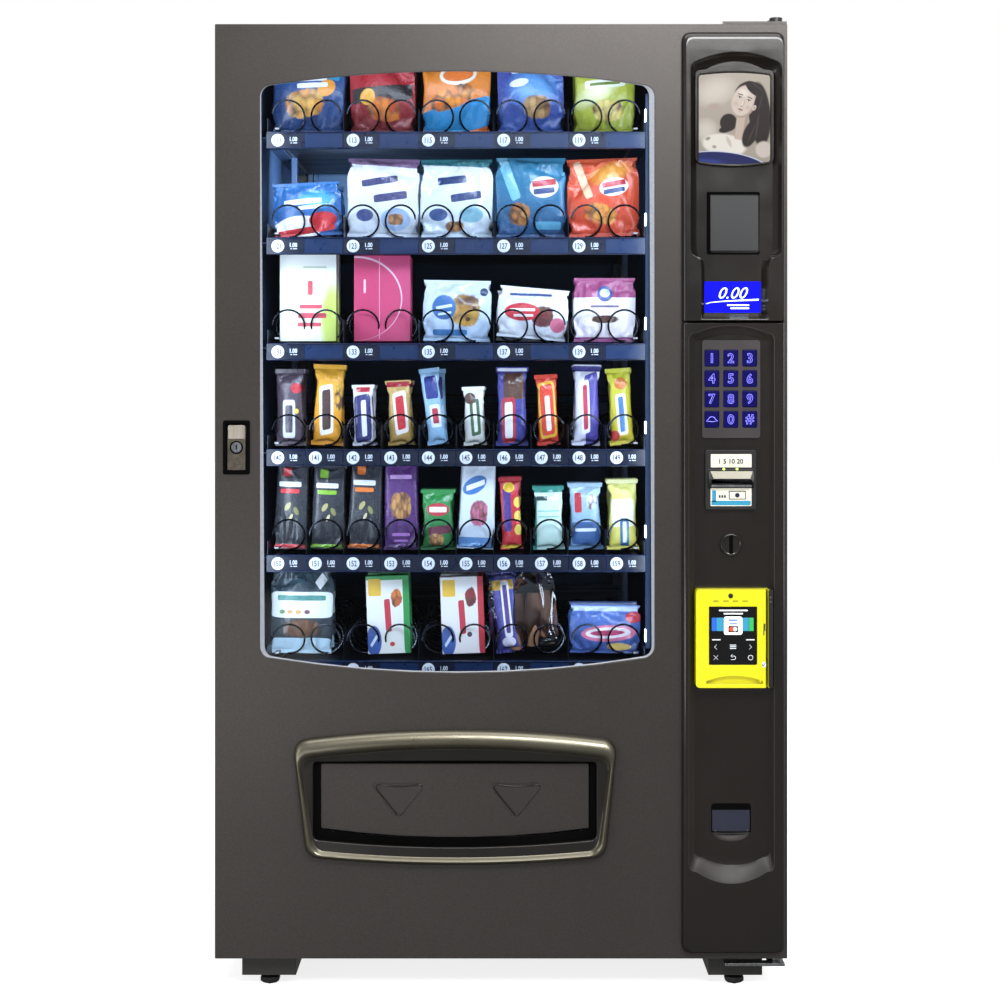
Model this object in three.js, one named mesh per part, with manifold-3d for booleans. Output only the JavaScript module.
// Glass-front snack vending machine: cabinet, six coil trays and a full-width hinged door.
// Millimetres, +Z up, +X to the right of someone facing the machine, front towards -Y.
// The origin is on the floor, under the middle of the machine.
import * as THREE from "three";
import { mergeVertices } from "three/addons/utils/BufferGeometryUtils.js";
import Module from "manifold-3d";

const wasm = await Module();
wasm.setup();

// ---- Driving dimensions -------------------------------------------------------------------
const WIDTH = 1083;
const HALF = WIDTH / 2;
const CABINET_TOP = 1829;
const CABINET_BOTTOM = 57;
const BACK_Y = 457;
const DOOR_FACE_Y = -430;
const DOOR_DEPTH = 70;
const DOOR_TOP = 1828;
const DOOR_BOTTOM = 60;
const DOOR_SEAL_GAP = 6;
const CABINET_FRONT_Y = DOOR_FACE_Y + DOOR_DEPTH + DOOR_SEAL_GAP;
const SHEET = 2;
const GAP = 0.3;

const HINGE_X = 525;
const HINGE_Y = -395;
const PIN_RADIUS = 7;

const BAY_LEFT = -478;
const BAY_RIGHT = 300;
const TRAY_LEFT = -462;
const TRAY_RIGHT = 284;
const TRAY_FRONT_Y = -282;
const TRAY_BACK_Y = 320;
const TRAY_COUNT = 6;
const TOP_RAIL_Z = 1629;
const TRAY_PITCH = 208.6;
const RAIL_HEIGHT = 33;
const TRAY_FLOOR_RISE = 12;

const COIL_RADIUS = 32.5;
const WIRE_RADIUS = 2;
const WIRE_SIDES = 5;
const COIL_TURNS = 8.5;
const STEPS_PER_TURN = 8;
const COIL_AXIS_RISE = 54;
const COIL_FRONT_Y = -266;
const COIL_BACK_Y = 298;
const FIRST_COLUMN_X = -423;
const COLUMN_PITCH = 74.2;
// The column whose coil is modelled in each tray, counted from the left and from 0.
const COIL_COLUMN = [4, 4, 4, 5, 4, 4];

const FOOT_X = [-443, 447];
const FOOT_Y = [-376, 390];
const CHANNEL_WIDTH = 103;
const CHANNEL_BOTTOM = 19;

const WINDOW = { left: -456, right: 290, bottom: 629, top: 1713, topRise: 26, bottomRise: 28, corner: 22 };
const FLAP = { left: -341, right: 166, bottom: 306, top: 428, rise: 17, hingeZ: 424, hingeY: 12 };

const COLUMN = { left: 341, right: 536, bottom: 72, seam: 1264, top: 1812, corner: 19, wall: 3 };
const FASCIA_FRONT = -14;
const RECESS_FLOOR = 4;
const RECESS_BACK = RECESS_FLOOR + COLUMN.wall;

const KEY_COLUMNS = [398.5, 434.3, 470.1];
const KEY_ROWS = [1196, 1157.4, 1118.8, 1080.2];
const KEY_NAMES = ["1", "2", "3", "4", "5", "6", "7", "8", "9", "clear", "0", "hash"];
const KEY_WIDTH = 27;
const KEY_HEIGHT = 31;
const KEY_FRONT = -2.8;

const LOCK_X = -500.5;
const LOCK_Z = 1027;

// ---- Solids from three.js geometries --------------------------------------------------------
function solid(geometry) {
  const bare = geometry.index ? geometry.toNonIndexed() : geometry.clone();
  bare.deleteAttribute("normal");
  bare.deleteAttribute("uv");
  const merged = mergeVertices(bare, 1e-4);
  return new wasm.Manifold(
    new wasm.Mesh({
      numProp: 3,
      vertProperties: merged.attributes.position.array,
      triVerts: new Uint32Array(merged.index.array),
    }),
  );
}

function join(...solids) {
  return solids.reduce((sum, next) => sum.add(next));
}

function cut(body, ...tools) {
  return tools.reduce((rest, tool) => rest.subtract(tool), body);
}

function block([x0, x1], [y0, y1], [z0, z1]) {
  const geometry = new THREE.BoxGeometry(x1 - x0, y1 - y0, z1 - z0);
  return solid(geometry.translate((x0 + x1) / 2, (y0 + y1) / 2, (z0 + z1) / 2));
}

// A shape drawn in X and Z, given depth from y0 to y1.
function alongY(shape, y0, y1, curveSegments = 5) {
  const geometry = new THREE.ExtrudeGeometry(shape, { depth: y1 - y0, bevelEnabled: false, curveSegments });
  return solid(geometry.rotateX(Math.PI / 2).translate(0, y1, 0));
}

// A shape drawn in X and Y, given height from z0 to z1.
function alongZ(shape, z0, z1, curveSegments = 5) {
  const geometry = new THREE.ExtrudeGeometry(shape, { depth: z1 - z0, bevelEnabled: false, curveSegments });
  return solid(geometry.translate(0, 0, z0));
}

// A shape drawn in Y and Z, given width from x0 to x1.
function alongX(shape, x0, x1, curveSegments = 5) {
  const geometry = new THREE.ExtrudeGeometry(shape, { depth: x1 - x0, bevelEnabled: false, curveSegments });
  const turn = new THREE.Matrix4().makeBasis(
    new THREE.Vector3(0, 1, 0),
    new THREE.Vector3(0, 0, 1),
    new THREE.Vector3(1, 0, 0),
  );
  return solid(geometry.applyMatrix4(turn).translate(x0, 0, 0));
}

function rodZ(x, y, radius, z0, z1, sides = 16) {
  const geometry = new THREE.CylinderGeometry(radius, radius, z1 - z0, sides);
  return solid(geometry.rotateX(Math.PI / 2).translate(x, y, (z0 + z1) / 2));
}

function rodY(x, z, radius, y0, y1, sides = 16) {
  const geometry = new THREE.CylinderGeometry(radius, radius, y1 - y0, sides);
  return solid(geometry.translate(x, (y0 + y1) / 2, z));
}

function rodX(y, z, radius, x0, x1, sides = 10) {
  const geometry = new THREE.CylinderGeometry(radius, radius, x1 - x0, sides);
  return solid(geometry.rotateZ(Math.PI / 2).translate((x0 + x1) / 2, y, z));
}

// ---- Outlines -------------------------------------------------------------------------------
function polygon(points) {
  return new THREE.Shape(points.map(([a, b]) => new THREE.Vector2(a, b)));
}

// A rectangle with round corners whose top and bottom edges may bow outwards.
function bowed({ left, right, bottom, top, topRise = 0, bottomRise = 0, corner }) {
  const middle = (left + right) / 2;
  const shape = new THREE.Shape();
  shape.moveTo(left + corner, bottom);
  if (bottomRise) shape.quadraticCurveTo(middle, bottom - 2 * bottomRise, right - corner, bottom);
  else shape.lineTo(right - corner, bottom);
  shape.quadraticCurveTo(right, bottom, right, bottom + corner);
  shape.lineTo(right, top - corner);
  shape.quadraticCurveTo(right, top, right - corner, top);
  if (topRise) shape.quadraticCurveTo(middle, top + 2 * topRise, left + corner, top);
  else shape.lineTo(left + corner, top);
  shape.quadraticCurveTo(left, top, left, top - corner);
  shape.lineTo(left, bottom + corner);
  shape.quadraticCurveTo(left, bottom, left + corner, bottom);
  return shape;
}

function grown(box, by) {
  return { ...box, left: box.left - by, right: box.right + by, bottom: box.bottom - by, top: box.top + by };
}

// The delivery surround's outline: wider at the top than at the bottom, bowed above and below.
function surroundOutline() {
  const shape = new THREE.Shape();
  shape.moveTo(-345, 250);
  shape.quadraticCurveTo(-86, 226, 175, 250);
  shape.quadraticCurveTo(196, 252, 201, 276);
  shape.lineTo(218, 446);
  shape.quadraticCurveTo(219, 474, 190, 477);
  shape.quadraticCurveTo(-86, 511, -364, 477);
  shape.quadraticCurveTo(-393, 474, -392, 446);
  shape.lineTo(-372, 276);
  shape.quadraticCurveTo(-367, 252, -345, 250);
  return shape;
}

// The upper recess of the control column: arched at the top, narrowing in an S above the display.
function upperRecess(by) {
  const wide = { left: 358 - by, right: 529 + by };
  const slim = { left: 378 - by, right: 503 + by };
  const shape = new THREE.Shape();
  shape.moveTo(slim.left, 1270 - by);
  shape.lineTo(slim.right, 1270 - by);
  shape.lineTo(slim.right, 1365);
  shape.bezierCurveTo(slim.right, 1387, wide.right, 1384, wide.right, 1406);
  shape.lineTo(wide.right, 1738 + by);
  shape.quadraticCurveTo(wide.right, 1753 + by, wide.right - 17, 1757 + by);
  shape.quadraticCurveTo(443.5, 1787 + by, wide.left + 17, 1757 + by);
  shape.quadraticCurveTo(wide.left, 1753 + by, wide.left, 1738 + by);
  shape.lineTo(wide.left, 1406);
  shape.bezierCurveTo(wide.left, 1384, slim.left, 1387, slim.left, 1365);
  shape.lineTo(slim.left, 1270 - by);
  return shape;
}

// The lower recess: arched at the top and ending in a bowed ledge below the coin return.
function lowerRecess(by) {
  return bowed(
    grown({ left: 355, right: 514, bottom: 242, top: 1242, topRise: 14, bottomRise: 34, corner: 14 }, by),
  );
}

// ---- Materials ------------------------------------------------------------------------------
const paint = (color, roughness, metalness = 0) => ({ color, roughness, metalness });
const FINISH = {
  doorPaint: paint(0x55504e, 0.45, 0.35),
  cabinetPaint: paint(0x3c3a39, 0.6, 0.2),
  linerPaint: paint(0x10141c, 0.5),
  glossColumn: paint(0x28241f, 0.2),
  screenGlass: paint(0x0a1eff, 0.15),
  keyCap: paint(0x101850, 0.35),
  yellowShell: paint(0xf5f014, 0.4),
  zinc: paint(0xb9bcc0, 0.35, 0.9),
  steel: paint(0x8d9094, 0.35, 0.9),
  glass: paint(0xcfd8dc, 0.05),
  blackPlastic: paint(0x151515, 0.5),
  greyPlastic: paint(0x6c6f72, 0.5),
};

function piece(parent, name, body, finish) {
  const mesh = body.getMesh();
  const geometry = new THREE.BufferGeometry();
  geometry.setAttribute("position", new THREE.BufferAttribute(mesh.vertProperties, 3));
  geometry.setIndex(new THREE.BufferAttribute(mesh.triVerts, 1));
  geometry.computeVertexNormals();
  const made = new THREE.Mesh(geometry, new THREE.MeshStandardMaterial(finish));
  made.name = name;
  parent.add(made);
  return made;
}

// ---- Cabinet --------------------------------------------------------------------------------
// An inverted U round the cabinet's sides and top, `thick` wide.
function wrapOutline(thick) {
  return polygon([
    [-HALF, CABINET_BOTTOM],
    [-HALF + thick, CABINET_BOTTOM],
    [-HALF + thick, CABINET_TOP - thick],
    [HALF - thick, CABINET_TOP - thick],
    [HALF - thick, CABINET_BOTTOM],
    [HALF, CABINET_BOTTOM],
    [HALF, CABINET_TOP],
    [-HALF, CABINET_TOP],
  ]);
}

function cabinetWrap() {
  const skin = alongY(wrapOutline(SHEET), CABINET_FRONT_Y, BACK_Y - SHEET - GAP);
  const frontReturn = alongY(wrapOutline(22), CABINET_FRONT_Y, CABINET_FRONT_Y + SHEET);
  return join(skin, frontReturn);
}

function cabinetBack() {
  const plate = block([-HALF, HALF], [BACK_Y - SHEET, BACK_Y], [CABINET_BOTTOM, CABINET_TOP]);
  const vents = [];
  for (const bottom of [170, 1560])
    for (let i = 0; i < 5; i++)
      for (const x of [-260, 60])
        vents.push(block([x, x + 200], [BACK_Y - 5, BACK_Y + 5], [bottom + i * 26, bottom + i * 26 + 9]));
  const inletWindow = block([-467, -413], [BACK_Y - 5, BACK_Y + 5], [98, 142]);
  return cut(plate, ...vents, inletWindow);
}

function cabinetFloor() {
  const innerHalf = HALF - SHEET - GAP;
  const backY = BACK_Y - SHEET - GAP;
  const plate = block([-innerHalf, innerHalf], [CABINET_FRONT_Y, backY], [CABINET_BOTTOM, CABINET_BOTTOM + SHEET]);
  const sill = block([-519, 519], [CABINET_FRONT_Y, CABINET_FRONT_Y + SHEET], [CABINET_BOTTOM, 79]);
  return join(cut(plate, wrapFeet()), sill);
}

// The wrap's front return reaches the cabinet's underside at both sides, so the floor stops short of it.
function wrapFeet() {
  const y = [CABINET_FRONT_Y - 1, CABINET_FRONT_Y + SHEET + GAP];
  const z = [CABINET_BOTTOM - 1, CABINET_BOTTOM + SHEET + 1];
  return join(block([-HALF, -519], y, z), block([519, HALF], y, z));
}

function trayFloorTop(level) {
  return TOP_RAIL_Z - level * TRAY_PITCH + TRAY_FLOOR_RISE;
}

function ledges(x0, x1) {
  const made = [];
  for (let level = 0; level < TRAY_COUNT; level++) {
    const top = trayFloorTop(level) - SHEET - GAP;
    made.push(block([x0, x1], [TRAY_FRONT_Y + 30, TRAY_BACK_Y + 20], [top - SHEET, top]));
  }
  return made;
}

const LINER_BOTTOM = CABINET_BOTTOM + SHEET + GAP;
const LINER_TOP = CABINET_TOP - SHEET - GAP;
const LINER_FRONT = CABINET_FRONT_Y + SHEET + GAP;

function bayLiner() {
  const wallX = -HALF + SHEET + GAP;
  const backY = 440;
  const outline = polygon([
    [wallX, LINER_FRONT],
    [BAY_LEFT, LINER_FRONT],
    [BAY_LEFT, backY],
    [wallX, backY],
    [wallX, backY - SHEET],
    [BAY_LEFT - SHEET, backY - SHEET],
    [BAY_LEFT - SHEET, LINER_FRONT + SHEET],
    [wallX, LINER_FRONT + SHEET],
  ]);
  const sheet = alongZ(outline, 79 + GAP, LINER_TOP);
  return join(sheet, ...ledges(BAY_LEFT - 1, TRAY_LEFT + 10));
}

function partitionWall() {
  const wall = block([BAY_RIGHT, BAY_RIGHT + SHEET], [LINER_FRONT, 450], [LINER_BOTTOM, 1806]);
  const lip = block([BAY_RIGHT, BAY_RIGHT + 16], [LINER_FRONT, LINER_FRONT + SHEET], [79 + GAP, 1806]);
  return join(wall, lip, ...ledges(TRAY_RIGHT - 10, BAY_RIGHT + 1));
}

function legChannel(x) {
  const half = CHANNEL_WIDTH / 2;
  const wall = 3;
  const top = CABINET_BOTTOM - GAP;
  const ends = [FOOT_Y[0] - 22, FOOT_Y[1] + 30];
  const outer = block([x - half, x + half], ends, [CHANNEL_BOTTOM, top]);
  const inner = block(
    [x - half + wall, x + half - wall],
    [ends[0] + wall, ends[1] - wall],
    [CHANNEL_BOTTOM + wall, top + 1],
  );
  const holes = FOOT_Y.map((y) => rodZ(x, y, 7, CHANNEL_BOTTOM - 1, CHANNEL_BOTTOM + wall + 1, 12));
  return cut(outer, inner, ...holes);
}

// A hexagonal pad that flares from the floor, on a threaded stem.
function levellingFoot() {
  const profile = [
    [0, 0],
    [14, 0],
    [20.5, 5],
    [20.5, 12],
    [9, 17],
    [0, 17],
  ].map(([r, z]) => new THREE.Vector2(r, z));
  const pad = solid(new THREE.LatheGeometry(profile, 6).rotateX(Math.PI / 2));
  return join(pad, rodZ(0, 0, 6, 15, 52, 12));
}

function hingePlateTop() {
  const base = CABINET_TOP + GAP;
  const top = base + 5;
  const plate = block([420, HALF], [-425, -270], [base, top]);
  const ramp = alongY(polygon([[488, top - 1], [516, top - 1], [516, top + 11]]), -388, -340);
  const head = rodZ(HINGE_X, HINGE_Y, 12.5, top - 1, 1846);
  const pin = rodZ(HINGE_X, HINGE_Y, PIN_RADIUS, 1800, top);
  return join(plate, ramp, head, pin);
}

function hingePlateBottom() {
  const z = [44, 49];
  const bar = block([424, 538], [-425, -402], z);
  const arm = block([508, 538], [-425, -300], z);
  const riser = block([508, 538], [CABINET_FRONT_Y + 4, -300], [48, CABINET_BOTTOM - GAP]);
  const washer = rodZ(HINGE_X, HINGE_Y, 11, 48, 57);
  const pin = rodZ(HINGE_X, HINGE_Y, PIN_RADIUS, 48, 88);
  return join(bar, arm, riser, washer, pin);
}

function powerInlet() {
  const body = block([-472, -408], [425, BACK_Y - SHEET - GAP], [93, 147]);
  const rim = block([-466, -414], [450, BACK_Y], [99, 141]);
  const socket = block([-456, -424], [436, BACK_Y + 1], [108, 132]);
  return cut(join(body, rim), socket);
}

// ---- Trays and coils --------------------------------------------------------------------------
// Drawn about the middle height of the label rail at the tray's front. Each plate ends inside the next.
function tray() {
  const base = TRAY_FLOOR_RISE - SHEET;
  const bite = SHEET / 2;
  const depth = [TRAY_FRONT_Y + 6, TRAY_BACK_Y - bite];
  const floor = block([TRAY_LEFT + bite, TRAY_RIGHT - bite], depth, [base, TRAY_FLOOR_RISE]);
  const leftSide = block([TRAY_LEFT, TRAY_LEFT + SHEET], depth, [base + bite, 44]);
  const rightSide = block([TRAY_RIGHT - SHEET, TRAY_RIGHT], depth, [base + bite, 44]);
  const motorPanel = block(
    [TRAY_LEFT + bite / 2, TRAY_RIGHT - bite / 2],
    [TRAY_BACK_Y - SHEET, TRAY_BACK_Y],
    [base + bite / 2, 108],
  );
  const half = RAIL_HEIGHT / 2;
  const rail = alongX(
    polygon([
      [TRAY_FRONT_Y, -half + 2],
      [TRAY_FRONT_Y + 4, -half],
      [TRAY_FRONT_Y + 9, -half],
      [TRAY_FRONT_Y + 9, half],
      [TRAY_FRONT_Y + 5, half],
      [TRAY_FRONT_Y, half - 3],
    ]),
    TRAY_LEFT - 1,
    TRAY_RIGHT + 1,
  );
  return join(floor, leftSide, rightSide, motorPanel, rail);
}

// The vend coil's centreline: a helix about Y that winds in to its drive hub over the last half turn.
class CoilLine extends THREE.Curve {
  getPoint(t, target = new THREE.Vector3()) {
    const angle = 2 * Math.PI * COIL_TURNS * t;
    const windIn = Math.max(0, (t * COIL_TURNS - (COIL_TURNS - 0.5)) / 0.5);
    const radius = COIL_RADIUS - WIRE_RADIUS - windIn * (COIL_RADIUS - WIRE_RADIUS - 5);
    const y = COIL_FRONT_Y + (COIL_BACK_Y - COIL_FRONT_Y) * t;
    return target.set(-radius * Math.cos(angle), y, radius * Math.sin(angle));
  }
}

function coil() {
  const section = new THREE.Shape();
  for (let i = 0; i < WIRE_SIDES; i++) {
    const angle = (2 * Math.PI * i) / WIRE_SIDES;
    const place = [WIRE_RADIUS * Math.cos(angle), WIRE_RADIUS * Math.sin(angle)];
    if (i) section.lineTo(...place);
    else section.moveTo(...place);
  }
  const wire = new THREE.ExtrudeGeometry(section, {
    steps: COIL_TURNS * STEPS_PER_TURN,
    extrudePath: new CoilLine(),
    bevelEnabled: false,
  });
  const hub = rodY(0, 0, 9, COIL_BACK_Y - 8, TRAY_BACK_Y - SHEET - GAP, 8);
  return join(solid(wire), hub);
}

// ---- Door: drawn with y = 0 at its front face ---------------------------------------------------
function doorPanel() {
  const outer = { left: -HALF, right: HALF, bottom: DOOR_BOTTOM, top: DOOR_TOP, corner: 2 };
  const face = alongY(bowed(outer), 0, SHEET);
  const pan = alongY(bowed(outer), SHEET / 2, DOOR_DEPTH);
  const hollow = alongY(bowed({ ...grown(outer, -SHEET), corner: 1 }), SHEET, DOOR_DEPTH - SHEET);
  const rearOpening = alongY(bowed({ ...grown(outer, -20), corner: 1 }), SHEET, DOOR_DEPTH + 1);
  const windowHole = alongY(bowed(WINDOW), -1, SHEET + 1, 8);
  const deliveryHole = block([-352, 177], [-1, SHEET + 1], [272, 456]);
  const columnHole = block([351, 533], [-1, SHEET + 1], [92, 1796]);
  const lockHole = block([LOCK_X - 21, LOCK_X + 21], [-1, SHEET + 1], [LOCK_Z - 47, LOCK_Z + 47]);
  const hingeY = HINGE_Y - DOOR_FACE_Y;
  const topPinHole = rodZ(HINGE_X, hingeY, PIN_RADIUS + 0.6, DOOR_TOP - 5, DOOR_TOP + 1);
  const bottomPinHole = rodZ(HINGE_X, hingeY, PIN_RADIUS + 0.6, DOOR_BOTTOM - 1, DOOR_BOTTOM + 5);
  const shell = cut(join(face, pan), hollow, rearOpening);
  return cut(shell, windowHole, deliveryHole, columnHole, lockHole, topPinHole, bottomPinHole);
}

function windowGlass() {
  return block([-472, 304], [SHEET + GAP, SHEET + GAP + 4], [582, 1759]);
}

function windowRetainer() {
  const y = [SHEET + 2 * GAP + 4, SHEET + 2 * GAP + 16];
  const frame = block([-478, 320], y, [566, 1775]);
  const opening = alongY(bowed(grown(WINDOW, 4)), y[0] - 1, y[1] + 1, 6);
  return cut(frame, opening);
}

const FLAP_OPENING = {
  left: FLAP.left - 2,
  right: FLAP.right + 2,
  bottom: FLAP.bottom - 2,
  top: FLAP.top + 2,
  bottomRise: FLAP.rise,
  corner: 6,
};

function deliveryBezel() {
  const ring = alongY(surroundOutline(), -18, -GAP, 7);
  const dish = alongY(
    bowed({ left: -353, right: 177, bottom: 291, top: 436, bottomRise: 17, corner: 8 }),
    -19,
    -4,
    7,
  );
  const collar = block([-350, 175], [-6, 14], [274, 454]);
  const mouth = alongY(bowed(FLAP_OPENING), -20, 20, 7);
  return cut(join(cut(ring, dish), collar), mouth);
}

function roundedTriangle(centreX) {
  const shape = new THREE.Shape();
  shape.moveTo(centreX - 38, 393);
  shape.quadraticCurveTo(centreX, 388, centreX + 38, 393);
  shape.quadraticCurveTo(centreX + 47, 392, centreX + 42, 383);
  shape.lineTo(centreX + 7, 332);
  shape.quadraticCurveTo(centreX, 321, centreX - 7, 332);
  shape.lineTo(centreX - 42, 383);
  shape.quadraticCurveTo(centreX - 47, 392, centreX - 38, 393);
  return shape;
}

function deliveryFlap() {
  const outline = bowed({ ...FLAP, bottomRise: FLAP.rise, corner: 4 });
  const plate = alongY(outline, 4, 9, 7);
  const barrel = rodX(FLAP.hingeY, FLAP.hingeZ, 4, FLAP.left + 2, FLAP.right - 2);
  const marks = [-199, 25].map((x) => alongY(roundedTriangle(x), 3, 5.2, 3));
  return cut(join(plate, barrel), ...marks);
}

function deliveryBin() {
  const outer = block([-358, 184], [15, 180], [262, 480]);
  const hollow = alongX(
    polygon([
      [17, 276],
      [178, 266],
      [178, 481],
      [17, 481],
    ]),
    -356,
    182,
  );
  const reach = block([-346, 171], [14, 20], [288, 444]);
  return cut(outer, hollow, reach);
}

// One moulding of the control column: an open-backed shell with a recessed tub.
function fascia(bottom, top, corners, recess) {
  const outline = (by) => {
    const shape = new THREE.Shape();
    const left = COLUMN.left + by;
    const right = COLUMN.right - by;
    const low = bottom + by;
    const high = top - by;
    shape.moveTo(left + corners.bottom, low);
    shape.lineTo(right - corners.bottom, low);
    shape.quadraticCurveTo(right, low, right, low + corners.bottom);
    shape.lineTo(right, high - corners.top);
    shape.quadraticCurveTo(right, high, right - corners.top, high);
    shape.lineTo(left + corners.top, high);
    shape.quadraticCurveTo(left, high, left, high - corners.top);
    shape.lineTo(left, low + corners.bottom);
    shape.quadraticCurveTo(left, low, left + corners.bottom, low);
    return shape;
  };
  const skin = alongY(outline(0), FASCIA_FRONT, -GAP);
  const hollow = alongY(outline(COLUMN.wall), FASCIA_FRONT + COLUMN.wall, 0);
  const tub = alongY(recess(COLUMN.wall), FASCIA_FRONT + 1, RECESS_BACK, 6);
  const dish = alongY(recess(0), FASCIA_FRONT - 1, RECESS_FLOOR, 6);
  return cut(join(cut(skin, hollow), tub), dish);
}

function throughFloor(x, z) {
  return block(x, [0, RECESS_BACK + 10], z);
}

function fasciaUpper() {
  const shell = fascia(COLUMN.seam + 1, COLUMN.top, { bottom: 3, top: COLUMN.corner }, upperRecess);
  return cut(shell, throughFloor([389, 490], [1392, 1511]), throughFloor([384, 492], [1282, 1341]));
}

function fasciaLower() {
  const shell = fascia(COLUMN.bottom, COLUMN.seam - 1, { bottom: COLUMN.corner, top: 3 }, lowerRecess);
  const scoopPad = block([396, 475], [RECESS_BACK - 1, 18], [272, 293]);
  const scoop = solid(new THREE.SphereGeometry(1, 12, 8).scale(34, 9, 17).translate(435.5, RECESS_FLOOR, 298));
  return cut(
    join(shell, scoopPad),
    throughFloor([386, 484], [1051, 1224]),
    throughFloor([390, 478], [914, 1018]),
    rodY(435, 843, 15, 0, 10, 12),
    throughFloor([400, 476], [643, 697]),
    throughFloor([398, 473], [298, 353]),
    scoop,
  );
}

function picturePanel() {
  const frame = { left: 367, right: 516, bottom: 1566, top: 1741, topRise: 6, bottomRise: 6, corner: 10 };
  const inset = { left: 373, right: 509, bottom: 1571, top: 1734, topRise: 5, bottomRise: 5, corner: 6 };
  const plate = alongY(bowed(frame), -2, RECESS_FLOOR - GAP);
  return cut(plate, alongY(bowed(inset), -3, -0.5));
}

function blankPanel() {
  const back = RECESS_BACK + GAP;
  return join(block([384, 495], [back, back + 3], [1387, 1516]), block([396, 488], [5.3, back + 1], [1399, 1504]));
}

function displayModule() {
  const back = RECESS_BACK + GAP;
  return join(block([379, 497], [back, back + 20], [1277, 1346]), block([385, 491], [5.5, back + 1], [1283, 1340]));
}

function keypadFrame() {
  const plate = bowed({ left: 380, right: 490, bottom: 1045, top: 1230, corner: 5 });
  for (const x of KEY_COLUMNS)
    for (const z of KEY_ROWS) {
      const halfWidth = KEY_WIDTH / 2 + 0.6;
      const halfHeight = KEY_HEIGHT / 2 + 0.6;
      const hole = bowed({
        left: x - halfWidth,
        right: x + halfWidth,
        bottom: z - halfHeight,
        top: z + halfHeight,
        corner: 3,
      });
      plate.holes.push(hole);
    }
  return alongY(plate, -1.3, RECESS_FLOOR - GAP, 2);
}

function keyCap() {
  const outline = { left: -KEY_WIDTH / 2, right: KEY_WIDTH / 2, bottom: -KEY_HEIGHT / 2, top: KEY_HEIGHT / 2 };
  return alongY(bowed({ ...outline, corner: 3 }), 0, 5.3, 2);
}

function billAcceptor() {
  const maskBack = RECESS_FLOOR - GAP;
  const mask = alongY(bowed({ left: 386, right: 482, bottom: 910, top: 1022, corner: 4 }), -6, maskBack, 3);
  const snout = alongX(
    polygon([
      [-5, 950],
      [-13, 956],
      [-16, 967],
      [-13, 981],
      [-5, 986],
    ]),
    391,
    477,
  );
  const body = block([392, 476], [maskBack - 1, 120], [916, 1016]);
  const slot = block([397, 471], [-20, 95], [959, 966.5]);
  return cut(join(mask, snout, body), slot);
}

function coinInsert() {
  const profile = [
    [0, -1],
    [15, -1],
    [19, -3],
    [21, -1.5],
    [21, RECESS_FLOOR - GAP],
    [14, RECESS_FLOOR - GAP],
    [14, 14],
    [0, 14],
  ].map(([r, y]) => new THREE.Vector2(r, y));
  const disc = solid(new THREE.LatheGeometry(profile, 20).translate(435, 0, 843));
  return cut(disc, block([432, 438], [-5, 20], [826, 860]));
}

function coinMechanism() {
  const changer = block([380, 496], [22, 130], [420, 800]);
  const inlet = block([425, 446], [16, 36], [799, 864]);
  const returnChute = block([425, 446], [26, 46], [359, 421]);
  return join(changer, inlet, returnChute);
}

function cardReader() {
  const back = RECESS_FLOOR - GAP;
  const shell = alongY(bowed({ left: 366, right: 510, bottom: 576, top: 761, corner: 8 }), -27, back, 4);
  const stub = block([402, 474], [back - 1, 17], [645, 695]);
  const screen = block([390, 481], [-28, -25.5], [619, 729]);
  const swipe = block([497, 502], [-28, -7], [575, 762]);
  const mouth = alongY(bowed({ left: 385, right: 492, bottom: 583, top: 590, topRise: 9, corner: 3 }), -28, -17);
  return cut(join(shell, stub), screen, swipe, mouth);
}

function coinReturnCup() {
  const front = RECESS_BACK + GAP;
  const outer = block([394, 477], [front, 68], [294, 357]);
  const inner = block([396, 475], [front - 1, 66], [296, 355]);
  const coinHole = block([427, 444], [28, 44], [350, 360]);
  return cut(outer, inner, coinHole);
}

function coinReturnFlap() {
  const plate = block([400, 471], [5.4, 7], [300, 352]);
  return join(plate, rodX(8.6, 350.5, 2, 401, 470, 8));
}

function lockCup() {
  const flange = alongY(
    bowed({ left: LOCK_X - 25.5, right: LOCK_X + 25.5, bottom: LOCK_Z - 51, top: LOCK_Z + 51, corner: 4 }),
    -3,
    -GAP,
    3,
  );
  const tub = block([LOCK_X - 20.5, LOCK_X + 20.5], [-1, 30], [LOCK_Z - 46.5, LOCK_Z + 46.5]);
  const well = block([LOCK_X - 18.5, LOCK_X + 18.5], [-4, 28], [LOCK_Z - 44.5, LOCK_Z + 44.5]);
  const stemHole = rodY(LOCK_X, LOCK_Z - 20, 8.6, 20, 31, 12);
  return cut(join(flange, tub), well, stemHole);
}

function lockHandle() {
  const bar = block([LOCK_X - 17, LOCK_X + 17], [-2, 16], [LOCK_Z - 43, LOCK_Z + 43]);
  const slope = alongX(
    polygon([
      [-3, LOCK_Z + 14],
      [-2, LOCK_Z + 14],
      [8, LOCK_Z + 44],
      [-3, LOCK_Z + 44],
    ]),
    LOCK_X - 18,
    LOCK_X + 18,
  );
  const stem = rodY(LOCK_X, LOCK_Z - 20, 8, 15, 45, 12);
  const barrelHole = rodY(LOCK_X, LOCK_Z, 10.4, -3, 13, 20);
  return cut(join(bar, stem), slope, barrelHole);
}

function lockCylinder() {
  const barrel = rodY(LOCK_X, LOCK_Z, 9.8, -3.4, 12.6, 20);
  const keyway = block([LOCK_X - 1.2, LOCK_X + 1.2], [-4, 6], [LOCK_Z - 4.5, LOCK_Z + 4.5]);
  return cut(barrel, keyway);
}

// ---- Assembly -----------------------------------------------------------------------------------
const machine = new THREE.Group();

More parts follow.
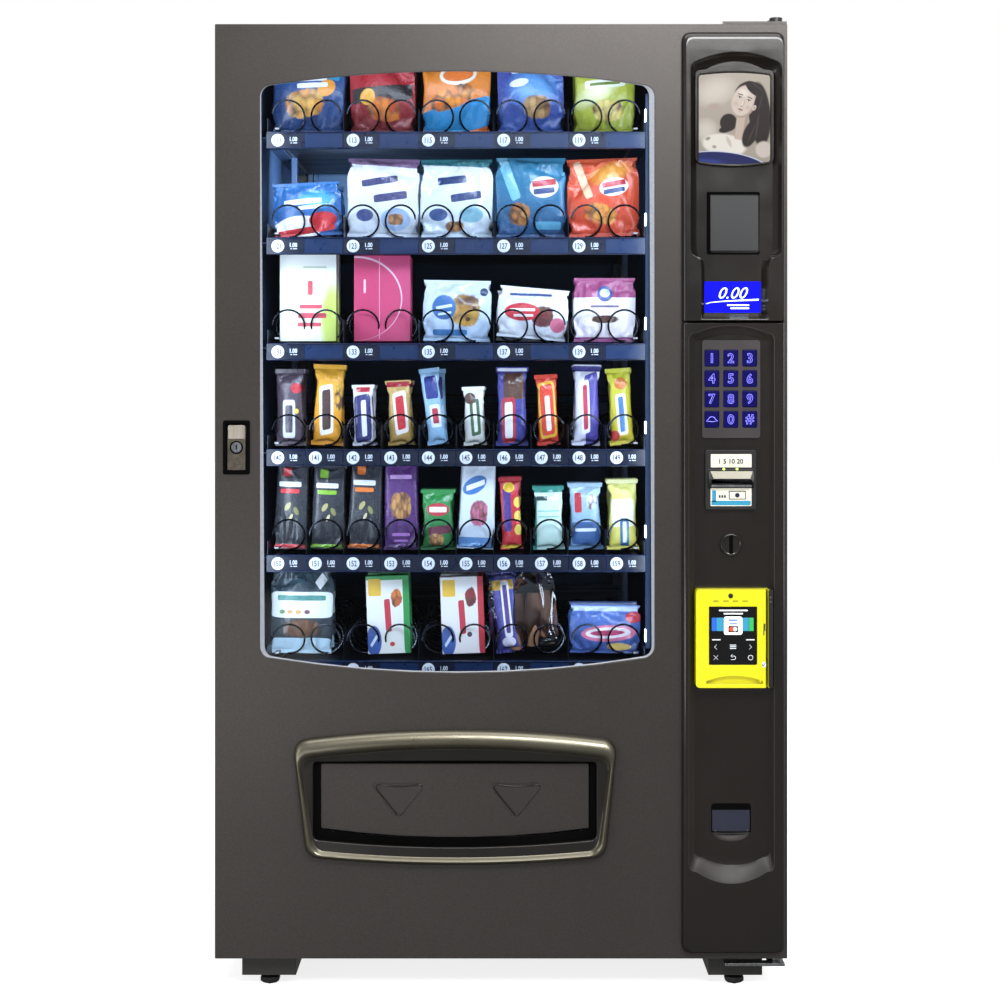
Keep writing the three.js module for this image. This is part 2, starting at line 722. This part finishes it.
const cabinet = new THREE.Group();
machine.add(cabinet);
piece(cabinet, "cabinet_wrap", cabinetWrap(), FINISH.cabinetPaint);
piece(cabinet, "cabinet_back", cabinetBack(), FINISH.cabinetPaint);
piece(cabinet, "cabinet_floor", cabinetFloor(), FINISH.cabinetPaint);
piece(cabinet, "bay_liner", bayLiner(), FINISH.linerPaint);
piece(cabinet, "partition_wall", partitionWall(), FINISH.linerPaint);
piece(cabinet, "hinge_plate_top", hingePlateTop(), FINISH.steel);
piece(cabinet, "hinge_plate_bottom", hingePlateBottom(), FINISH.steel);
piece(cabinet, "power_inlet", powerInlet(), FINISH.blackPlastic);

["left", "right"].forEach((side, s) => {
  piece(cabinet, `leg_channel_${side}`, legChannel(FOOT_X[s]), FINISH.blackPlastic);
  ["front", "rear"].forEach((end, e) => {
    const foot = piece(cabinet, `levelling_foot_${end}_${side}`, levellingFoot(), FINISH.steel);
    foot.position.set(FOOT_X[s], FOOT_Y[e], 0);
  });
});

for (let level = 0; level < TRAY_COUNT; level++) {
  const shelf = new THREE.Group();
  shelf.position.z = TOP_RAIL_Z - level * TRAY_PITCH;
  cabinet.add(shelf);
  piece(shelf, `tray_${level + 1}`, tray(), FINISH.linerPaint);
  const spiral = piece(shelf, `coil_${level + 1}`, coil(), FINISH.steel);
  spiral.position.set(FIRST_COLUMN_X + COIL_COLUMN[level] * COLUMN_PITCH, 0, COIL_AXIS_RISE);
}

const door = new THREE.Group();
door.position.y = DOOR_FACE_Y;
machine.add(door);
piece(door, "door_panel", doorPanel(), FINISH.doorPaint);
piece(door, "window_glass", windowGlass(), FINISH.glass);
piece(door, "window_retainer", windowRetainer(), FINISH.linerPaint);
piece(door, "delivery_bezel", deliveryBezel(), FINISH.glossColumn);
piece(door, "delivery_flap", deliveryFlap(), FINISH.doorPaint);
piece(door, "delivery_bin", deliveryBin(), FINISH.linerPaint);
piece(door, "fascia_upper", fasciaUpper(), FINISH.glossColumn);
piece(door, "fascia_lower", fasciaLower(), FINISH.glossColumn);
piece(door, "picture_panel", picturePanel(), FINISH.greyPlastic);
piece(door, "blank_panel", blankPanel(), FINISH.blackPlastic);
piece(door, "display_module", displayModule(), FINISH.screenGlass);
piece(door, "keypad_frame", keypadFrame(), FINISH.blackPlastic);
piece(door, "bill_acceptor", billAcceptor(), FINISH.greyPlastic);
piece(door, "coin_insert", coinInsert(), FINISH.blackPlastic);
piece(door, "coin_mechanism", coinMechanism(), FINISH.greyPlastic);
piece(door, "card_reader", cardReader(), FINISH.yellowShell);
piece(door, "coin_return_cup", coinReturnCup(), FINISH.zinc);
piece(door, "coin_return_flap", coinReturnFlap(), FINISH.zinc);
piece(door, "lock_cup", lockCup(), FINISH.blackPlastic);
piece(door, "lock_handle", lockHandle(), FINISH.zinc);
piece(door, "lock_cylinder", lockCylinder(), FINISH.zinc);

KEY_NAMES.forEach((legend, i) => {
  const key = piece(door, `key_${legend}`, keyCap(), FINISH.keyCap);
  key.position.set(KEY_COLUMNS[i % 3], KEY_FRONT, KEY_ROWS[Math.floor(i / 3)]);
});

export default machine;
